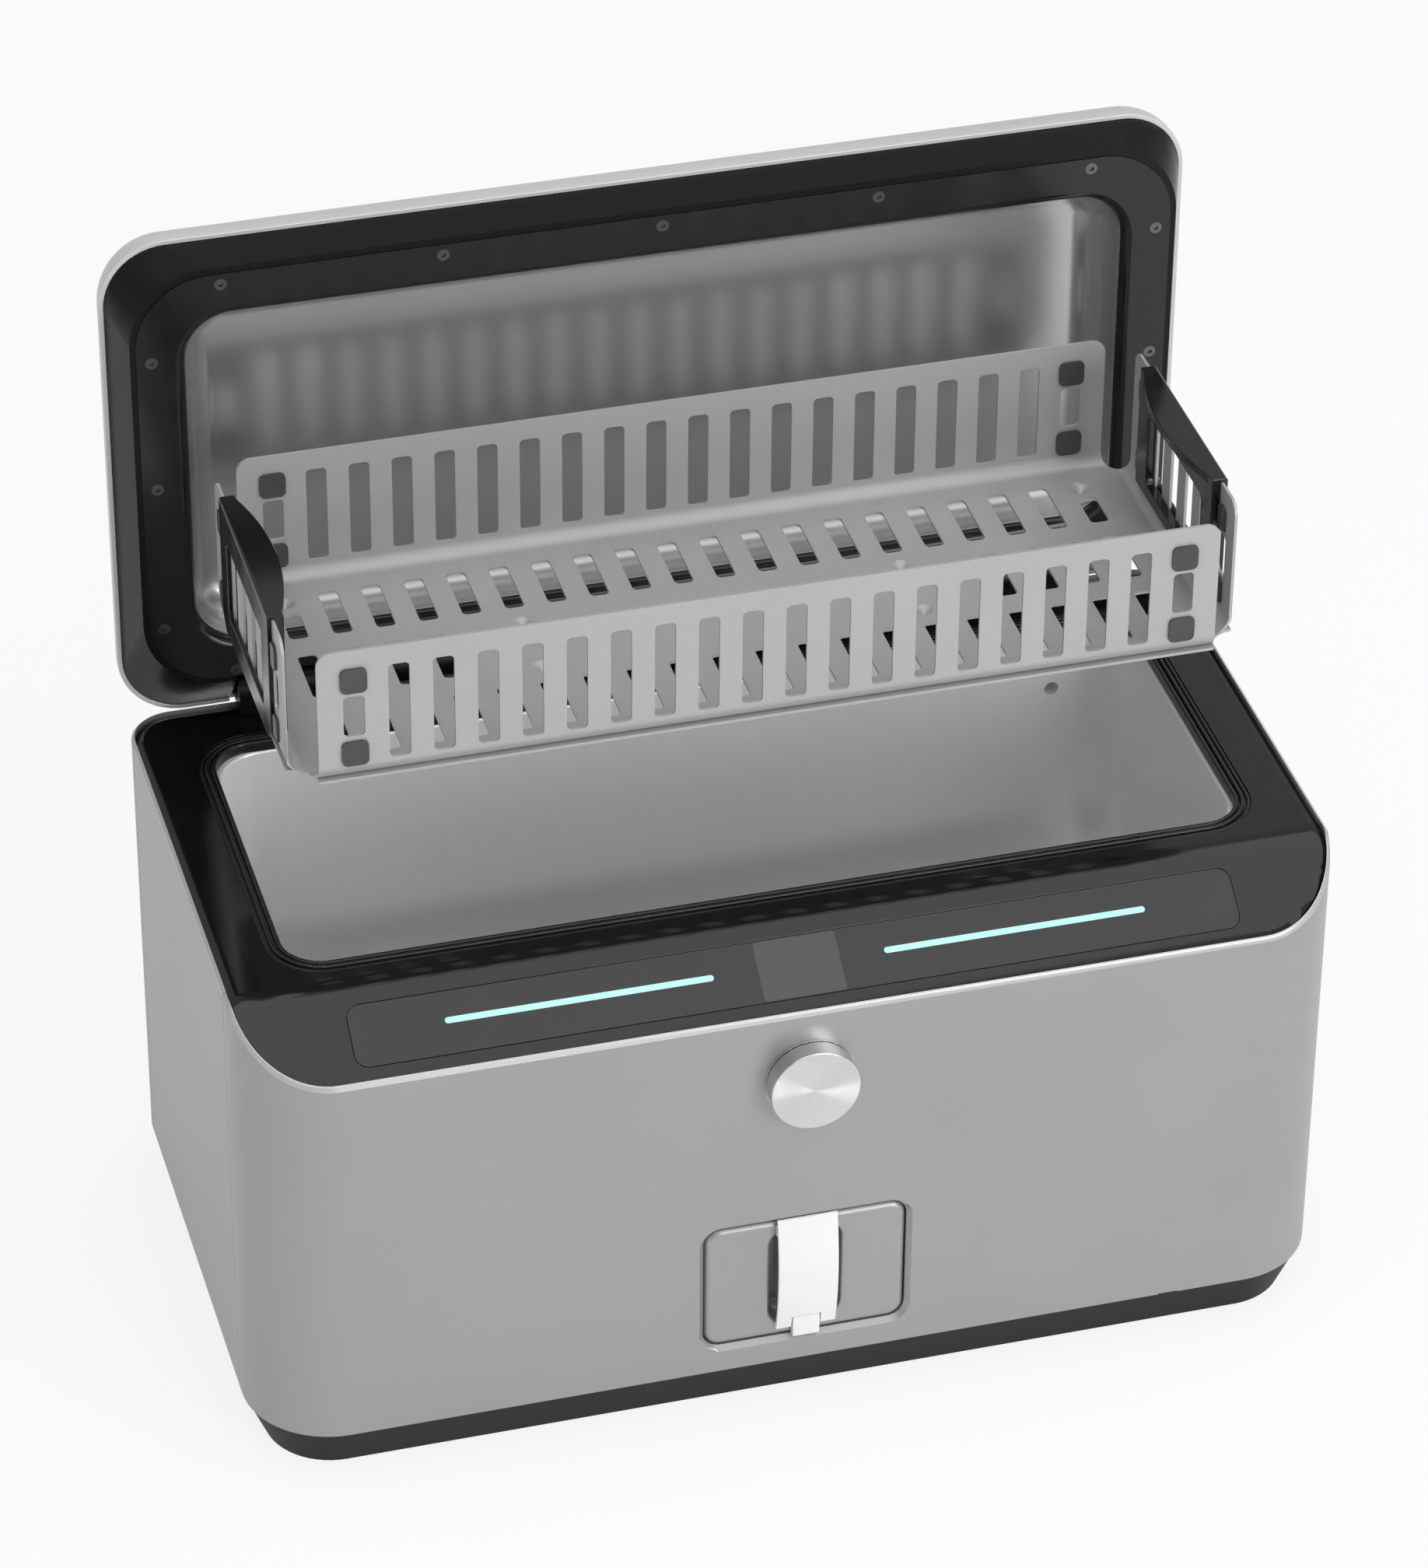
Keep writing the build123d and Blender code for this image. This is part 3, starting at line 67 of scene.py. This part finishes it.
# Edges sharper than this are eased or stay sharp
SHARP_ANGLE = radians(28)

# Camera, solved from the photograph: its focal length and height in pixels, its place and its axes
FOCAL_PIXELS = 8401.8
PHOTO_HEIGHT = 2016
SENSOR_HEIGHT = 36.0
CAMERA_PLACE = -0.6062, -2.1174, 1.7673
CAMERA_RIGHT = 0.96353, -0.26751, 0.00712
CAMERA_UP = 0.14757, 0.55337, 0.81976
CAMERA_BACK = -0.22324, -0.78881, 0.57266

# Share of even white in the floor, where it is seen and where it is mirrored
FLOOR_SEEN = 0.84
FLOOR_MIRRORED = 0.42
# Strength of the surroundings as light, and as seen
SKY_LIGHT = 0.50
SKY_SEEN = 1.0
# The point that both lamps face
LAMP_AIM = 0, 0, 0.2


# A neutral colour
def grey(level):
    return level, level, level


# A new finish, and the place on the object that its pattern starts from
def new_finish(name):
    finish = bpy.data.materials.new(name)
    finish.use_nodes = True
    nodes = finish.node_tree.nodes
    links = finish.node_tree.links
    place = nodes.new("ShaderNodeTexCoord").outputs["Object"]
    return finish, nodes, links, nodes["Principled BSDF"], place


# A sum of two values
def total(nodes, links, first, second):
    both = nodes.new("ShaderNodeMath")
    both.operation = "ADD"
    links.new(first, both.inputs[0])
    links.new(second, both.inputs[1])
    return both.outputs[0]


# A share of a value
def portion(nodes, links, value, share):
    part = nodes.new("ShaderNodeMath")
    part.operation = "MULTIPLY"
    part.inputs[1].default_value = share
    links.new(value, part.inputs[0])
    return part.outputs[0]


# Soft blotches about size metres across, each axis drawn out by its stretch
def blotches(nodes, links, place, size, stretch=(1, 1, 1), detail=4.0):
    fit = nodes.new("ShaderNodeMapping")
    fit.inputs["Scale"].default_value = [1 / (size * s) for s in stretch]
    noise = nodes.new("ShaderNodeTexNoise")
    noise.inputs["Scale"].default_value = 1.0
    noise.inputs["Detail"].default_value = detail
    links.new(place, fit.inputs["Vector"])
    links.new(fit.outputs["Vector"], noise.inputs["Vector"])
    return noise.outputs["Fac"]


# A value from low to high, as a noise goes through its span
def spread(nodes, links, value, low, high):
    span = nodes.new("ShaderNodeMapRange")
    span.inputs["From Min"].default_value = NOISE_SPAN[0]
    span.inputs["From Max"].default_value = NOISE_SPAN[1]
    span.inputs["To Min"].default_value = low
    span.inputs["To Max"].default_value = high
    links.new(value, span.inputs["Value"])
    return span.outputs["Result"]


# A colour that varies from low to high times itself
def mottle(nodes, links, value, colour, low, high):
    blend = nodes.new("ShaderNodeMix")
    blend.data_type = "RGBA"
    blend.inputs["A"].default_value = (*[c * low for c in colour], 1)
    blend.inputs["B"].default_value = (*[c * high for c in colour], 1)
    links.new(spread(nodes, links, value, 0, 1), blend.inputs["Factor"])
    return blend.outputs["Result"]


# Fine relief, its height in metres
def relief(nodes, links, value, height):
    bump = nodes.new("ShaderNodeBump")
    bump.inputs["Distance"].default_value = height
    links.new(value, bump.inputs["Height"])
    return bump.outputs["Normal"]


# Sprayed satin paint: a hardly seen mottle and a little orange peel
def sprayed_paint(name, colour, rough=0.42, peel=0.000012, metal=0.0):
    finish, nodes, links, shader, place = new_finish(name)
    wide = blotches(nodes, links, place, size=0.09)
    links.new(mottle(nodes, links, wide, colour, 0.97, 1.03), shader.inputs["Base Color"])
    fine = blotches(nodes, links, place, size=0.0011, detail=2)
    links.new(spread(nodes, links, fine, rough - 0.03, rough + 0.03), shader.inputs["Roughness"])
    links.new(relief(nodes, links, fine, peel), shader.inputs["Normal"])
    shader.inputs["Metallic"].default_value = metal
    return finish


# Moulded plastic with its fine spark-eroded texture
def moulded(name, colour, rough=0.5, texture=0.00002, gloss=0.5):
    finish, nodes, links, shader, place = new_finish(name)
    wide = blotches(nodes, links, place, size=0.05)
    links.new(mottle(nodes, links, wide, colour, 0.94, 1.06), shader.inputs["Base Color"])
    fine = blotches(nodes, links, place, size=0.0006, detail=3)
    links.new(spread(nodes, links, fine, rough - 0.05, rough + 0.05), shader.inputs["Roughness"])
    links.new(relief(nodes, links, fine, texture), shader.inputs["Normal"])
    shader.inputs["Specular IOR Level"].default_value = gloss
    return finish


# Polished black plastic, with faint wiping marks in its gloss
def polished_black(name, colour, rough):
    finish, nodes, links, shader, place = new_finish(name)
    wide = blotches(nodes, links, place, size=0.06, stretch=(1, 0.5, 1))
    links.new(mottle(nodes, links, wide, colour, 0.85, 1.15), shader.inputs["Base Color"])
    wipes = blotches(nodes, links, place, size=0.012, stretch=(6, 1, 1))
    links.new(spread(nodes, links, wipes, rough * 0.8, rough * 1.3), shader.inputs["Roughness"])
    links.new(relief(nodes, links, wide, 0.00001), shader.inputs["Normal"])
    return finish


# Metal with fine marks, drawn out by stretch, and the faint cloud of a tumbled surface
def steel(name, colour, rough, stretch=(1, 1, 1), mark=0.0004, depth=0.000004, metal=1.0,
          cloud=0.04, uneven=0.04):
    finish, nodes, links, shader, place = new_finish(name)
    wide = blotches(nodes, links, place, size=0.05)
    marks = blotches(nodes, links, place, size=mark, stretch=stretch, detail=3)
    mean = portion(nodes, links, total(nodes, links, wide, marks), 0.5)
    links.new(mottle(nodes, links, mean, colour, 1 - cloud, 1 + cloud), shader.inputs["Base Color"])
    links.new(spread(nodes, links, marks, rough - uneven, rough + uneven), shader.inputs["Roughness"])
    links.new(relief(nodes, links, marks, depth), shader.inputs["Normal"])
    shader.inputs["Metallic"].default_value = metal
    return finish


# Dull rubber with a dusty mottle
def rubber(name, colour, rough=0.65):
    finish, nodes, links, shader, place = new_finish(name)
    wide = blotches(nodes, links, place, size=0.02)
    links.new(mottle(nodes, links, wide, colour, 0.85, 1.2), shader.inputs["Base Color"])
    fine = blotches(nodes, links, place, size=0.0004, detail=2)
    links.new(spread(nodes, links, fine, rough - 0.08, rough + 0.08), shader.inputs["Roughness"])
    links.new(relief(nodes, links, fine, 0.000015), shader.inputs["Normal"])
    return finish


# Face of the knob, whose gloss is drawn out in a direction that turns about the knob's axis
def brushed_face(name, colour, rough):
    finish, nodes, links, shader, place = new_finish(name)
    wide = blotches(nodes, links, place, size=0.004)
    links.new(mottle(nodes, links, wide, colour, 0.97, 1.03), shader.inputs["Base Color"])
    links.new(spread(nodes, links, wide, rough - 0.02, rough + 0.02), shader.inputs["Roughness"])
    shader.inputs["Metallic"].default_value = 1.0
    shader.inputs["Anisotropic"].default_value = 0.95
    around = nodes.new("ShaderNodeTangent")
    around.direction_type = "RADIAL"
    around.axis = "Y"
    links.new(around.outputs["Tangent"], shader.inputs["Tangent"])
    return finish


# Lit diffuser of the light bars
def lit_diffuser(name, colour, strength):
    finish, nodes, links, shader, place = new_finish(name)
    wide = blotches(nodes, links, place, size=0.02)
    links.new(mottle(nodes, links, wide, colour, 0.02, 0.04), shader.inputs["Base Color"])
    shader.inputs["Emission Color"].default_value = (*colour, 1)
    shader.inputs["Emission Strength"].default_value = strength
    shader.inputs["Roughness"].default_value = 0.6
    shader.inputs["Specular IOR Level"].default_value = 0.2
    return finish


casing_paint = sprayed_paint("casing_paint", grey(0.37), rough=0.34, peel=0.000004, metal=0.6)
# Lighter paint laid where the casing's upper rim catches the light: a painted highlight
bright_edge = sprayed_paint("bright_edge", (0.50, 0.50, 0.51), rough=0.3, metal=0.4)
lid_paint = sprayed_paint("lid_paint", (0.62, 0.62, 0.63), rough=0.35, metal=0.2)
base_plastic = moulded("base_plastic", (0.014, 0.014, 0.0145), gloss=0.2)
cover_gloss = polished_black("cover_gloss", grey(0.005), rough=0.12)
strip_print = moulded("strip_print", grey(0.020), rough=0.38, texture=0.000004)
screen_grey = moulded("screen_grey", (0.055, 0.055, 0.056), rough=0.35, texture=0.000002)
bar_light = lit_diffuser("bar_light", (0.578, 1.0, 0.956), strength=0.97)
seal_rubber = rubber("seal_rubber", grey(0.010), rough=0.26)
foot_rubber = rubber("foot_rubber", grey(0.02))
chamber_steel = steel("chamber_steel", grey(0.92), rough=0.33, stretch=(8, 8, 1), mark=0.0006, depth=0.000001,
                      metal=0.35, cloud=0.02, uneven=0.02)
pan_steel = steel("pan_steel", grey(0.50), rough=0.25, stretch=(10, 1, 1), mark=0.0006, depth=0.0000002,
                  metal=0.85, cloud=0.02, uneven=0.008)
basket_steel = steel("basket_steel", grey(0.43), rough=0.48, stretch=(8, 8, 1), mark=0.0006, metal=0.35)
frame_plastic = moulded("frame_plastic", (0.005, 0.005, 0.0055), rough=0.28, texture=0.000008, gloss=0.2)
plate_gloss = polished_black("plate_gloss", grey(0.006), rough=0.18)
screw_steel = steel("screw_steel", grey(0.5), rough=0.3)
screw_black = steel("screw_black", (0.15, 0.15, 0.155), rough=0.22)
strap_white = moulded("strap_white", grey(0.80), rough=0.35, texture=0.000006)
handle_gloss = polished_black("handle_gloss", grey(0.008), rough=0.14)
pad_rubber = rubber("pad_rubber", grey(0.05), rough=0.32)
knob_side = steel("knob_side", grey(0.62), rough=0.2, mark=0.0012, depth=0.000001)
knob_face = brushed_face("knob_face", grey(0.72), rough=0.30)
zinc_sheet = steel("zinc_sheet", (0.45, 0.46, 0.47), rough=0.4, stretch=(20, 1, 1))
cast_metal = steel("cast_metal", (0.42, 0.42, 0.43), rough=0.5, mark=0.0009, depth=0.00002)
felt = rubber("felt", (0.32, 0.31, 0.28), rough=0.9)
bisque = moulded("bisque", (0.72, 0.70, 0.66), rough=0.7, texture=0.00003)
box_black = sprayed_paint("box_black", (0.03, 0.03, 0.032), rough=0.5)
nylon_black = moulded("nylon_black", grey(0.02), rough=0.55)
board_green = moulded("board_green", (0.02, 0.10, 0.05), rough=0.4)
bottle_white = moulded("bottle_white", (0.62, 0.65, 0.68), rough=0.45)

finishes = {
    "base_tray": base_plastic, "feet": foot_rubber, "chassis_plate": zinc_sheet,
    "front_panel": casing_paint, "side_panel_left": casing_paint,
    # The side trims wear the painted rim highlight all over
    "side_panel_right": casing_paint, "side_trims": bright_edge, "rear_panel": casing_paint,
    "rear_screws": screw_steel, "top_cover": cover_gloss, "glass_strip": strip_print,
    "light_bars": bar_light, "display": screen_grey, "gasket": seal_rubber,
    "chamber": chamber_steel, "chamber_port": chamber_steel, "electrode": pan_steel,
    "standoffs": bisque, "insulation": felt, "chamber_deck": zinc_sheet,
    "vacuum_pump": cast_metal, "plasma_generator": cast_metal, "power_supply": box_black,
    "exhaust_filter": nylon_black, "valve_block": cast_metal, "vaporizer": cast_metal,
    "mains_inlet": nylon_black, "control_board": board_green, "knob_encoder": nylon_black,
    "knob_ring": knob_side, "drawer_rails": nylon_black, "hinge_blocks": frame_plastic,
    "hinge_pins": screw_steel, "lid_shell": lid_paint, "lid_frame": frame_plastic,
    "lid_plate": plate_gloss, "lid_screws": screw_black, "lid_pan": pan_steel,
    "lid_insulation": felt, "knob": knob_side, "drawer_front": casing_paint,
    "drawer_strap": strap_white, "drawer_tray": nylon_black, "cartridge": bottle_white,
    "release_button": strap_white, "basket_sheet": basket_steel, "basket_pads": pad_rubber,
    "basket_handle_left": handle_gloss, "basket_handle_right": handle_gloss,
}
for node, finish in finishes.items():
    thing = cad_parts[node]
    thing.data.materials.clear()
    thing.data.materials.append(finish)


# Rounds the corners of thin plates: their short edges, which run through the thickness
def round_corners(piece, radius):
    bpy.ops.mesh.select_mode(type="EDGE")
    bpy.ops.mesh.select_all(action="DESELECT")
    shape = bmesh.from_edit_mesh(piece.data)
    for edge in shape.edges:
        edge.select_set(edge.calc_length() < PAD_EDGE)
    bmesh.update_edit_mesh(piece.data)
    bpy.ops.mesh.bevel(offset=radius, segments=4)


# A node's shape taken over and finished: welded, its edges eased, its curves shaded smooth
def finished(node, body, ease=0.0, segments=2, corner=0.0):
    bpy.ops.object.select_all(action="DESELECT")
    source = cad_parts[node]
    piece = source.copy()
    piece.data = source.data.copy()
    piece.parent = None
    piece.matrix_world = Matrix.Identity(4)
    piece.name = node + "_skin"
    bpy.context.scene.collection.objects.link(piece)
    piece.select_set(True)
    bpy.context.view_layer.objects.active = piece
    bpy.ops.object.mode_set(mode="EDIT")
    bpy.ops.mesh.select_all(action="SELECT")
    bpy.ops.mesh.remove_doubles(threshold=WELD)
    bpy.ops.mesh.dissolve_limited(angle_limit=FLAT_ANGLE)
    if corner:
        round_corners(piece, corner)
    bpy.ops.object.mode_set(mode="OBJECT")
    if ease:
        bevel = piece.modifiers.new("eased_edges", "BEVEL")
        bevel.width = ease
        bevel.segments = segments
        bevel.limit_method = "ANGLE"
        bevel.angle_limit = SHARP_ANGLE
        bevel.use_clamp_overlap = True
        bevel.harden_normals = True
        bpy.ops.object.modifier_apply(modifier=bevel.name)
    bpy.ops.object.shade_smooth_by_angle(angle=SHARP_ANGLE)
    even = piece.modifiers.new("even_shading", "WEIGHTED_NORMAL")
    even.keep_sharp = True
    bpy.ops.object.modifier_apply(modifier=even.name)
    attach(piece, body)
    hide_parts(node)
    bpy.ops.object.select_all(action="DESELECT")
    return piece


# Gives another finish to the faces that a test picks
def refinish(piece, finish, picks):
    piece.data.materials.append(finish)
    number = len(piece.data.materials) - 1
    for face in piece.data.polygons:
        if picks(face.center, face.normal):
            face.material_index = number


# The slanting faces along the casing's upper edge, which get a painted highlight
def on_highlight_rim(centre, normal):
    return RIM_SLANT[0] < normal.z < RIM_SLANT[1] and centre.z > RIM_FROM


# The lip of the lid pan and the start of its mouth
def on_border(centre, normal):
    return centre.y < PAN_MOUTH + BORDER_DEPTH


# The flat face of the knob
def on_knob_face(centre, normal):
    return normal.y < -FACE_SQUARE and centre.y < KNOB_FACE + FACE_DEPTH


# Casing, its panels first, their slanting rim faces given a painted highlight
for name in ("front_panel", "side_panel_left", "side_panel_right", "rear_panel", "side_trims"):
    refinish(finished(name, "casing"), bright_edge, on_highlight_rim)
for name, ease in (("top_cover", 0.0002), ("gasket", 0), ("chamber", 0), ("base_tray", 0.0004),
                   ("knob_ring", 0.0001), ("glass_strip", 0), ("hinge_blocks", 0.0006)):
    finished(name, "casing", ease)

# Lid
for name, ease in (("lid_shell", 0.0003), ("lid_frame", 0.0006), ("lid_plate", 0.0001)):
    finished(name, "lid", ease)
refinish(finished("lid_pan", "lid"), plate_gloss, on_border)

# Drawer and its button
finished("drawer_front", "drawer", ease=0.0002)
finished("drawer_strap", "drawer", ease=0.0002)
finished("release_button", "button", ease=0.0002)

# Basket
finished("basket_sheet", "basket")
finished("basket_pads", "basket", ease=0.0011, segments=3, corner=PAD_CORNER)
finished("basket_handle_left", "basket", ease=0.0004)
finished("basket_handle_right", "basket", ease=0.0004)

# Knob
refinish(finished("knob", "knob", ease=0.0002), knob_face, on_knob_face)


# Camera at the photograph's place
def photo_camera():
    lens = bpy.data.cameras.new("camera")
    lens.sensor_fit = "VERTICAL"
    lens.sensor_height = SENSOR_HEIGHT
    lens.lens = FOCAL_PIXELS * SENSOR_HEIGHT / PHOTO_HEIGHT
    lens.clip_end = 50
    camera = bpy.data.objects.new("camera", lens)
    bpy.context.scene.collection.objects.link(camera)
    turn = Matrix((CAMERA_RIGHT, CAMERA_UP, CAMERA_BACK)).transposed()
    camera.matrix_world = Matrix.Translation(CAMERA_PLACE) @ turn.to_4x4()
    bpy.context.scene.camera = camera


# Pale floor with even white mixed in where it is seen or mirrored. The rest takes light and shadow.
def white_floor():
    bpy.ops.object.select_all(action="DESELECT")
    bpy.ops.mesh.primitive_plane_add(size=12, location=(0, 0, 0))
    floor = bpy.context.object
    floor.name = "floor"
    finish, nodes, links, shader, place = new_finish("floor_white")
    shader.inputs["Base Color"].default_value = (*grey(0.86), 1)
    shader.inputs["Roughness"].default_value = 0.9
    white = nodes.new("ShaderNodeEmission")
    white.inputs["Strength"].default_value = 1.0
    rays = nodes.new("ShaderNodeLightPath")
    seen = portion(nodes, links, rays.outputs["Is Camera Ray"], FLOOR_SEEN)
    mirrored = portion(nodes, links, rays.outputs["Is Glossy Ray"], FLOOR_MIRRORED)
    choice = nodes.new("ShaderNodeMixShader")
    links.new(total(nodes, links, seen, mirrored), choice.inputs["Fac"])
    links.new(shader.outputs["BSDF"], choice.inputs[1])
    links.new(white.outputs["Emission"], choice.inputs[2])
    links.new(choice.outputs["Shader"], nodes["Material Output"].inputs["Surface"])
    floor.data.materials.append(finish)


# White surroundings, dimmer as light than as seen
def white_surroundings():
    world = bpy.data.worlds.new("surroundings")
    bpy.context.scene.world = world
    world.use_nodes = True
    sky = world.node_tree
    air = sky.nodes["Background"]
    air.inputs["Color"].default_value = (*grey(1), 1)
    rays = sky.nodes.new("ShaderNodeLightPath")
    level = sky.nodes.new("ShaderNodeMapRange")
    level.inputs["To Min"].default_value = SKY_LIGHT
    level.inputs["To Max"].default_value = SKY_SEEN
    sky.links.new(rays.outputs["Is Camera Ray"], level.inputs["Value"])
    sky.links.new(level.outputs["Result"], air.inputs["Strength"])


# A soft lamp that faces the object, with its size in metres and its power in watts
def soft_lamp(name, spot, size, power):
    light = bpy.data.lights.new(name, "AREA")
    light.shape = "RECTANGLE"
    light.size, light.size_y = size
    light.energy = power
    lamp = bpy.data.objects.new(name, light)
    lamp.location = spot
    lamp.rotation_euler = (Vector(LAMP_AIM) - Vector(spot)).to_track_quat("-Z", "Y").to_euler()
    bpy.context.scene.collection.objects.link(lamp)


photo_camera()
white_floor()
white_surroundings()
soft_lamp("top_lamp", (0.2, -0.6, 2.6), size=(4.2, 3.2), power=44)
soft_lamp("front_lamp", (1.3, -2.5, 1.0), size=(1.6, 1.6), power=36)

bpy.context.scene.view_settings.view_transform = "Standard"
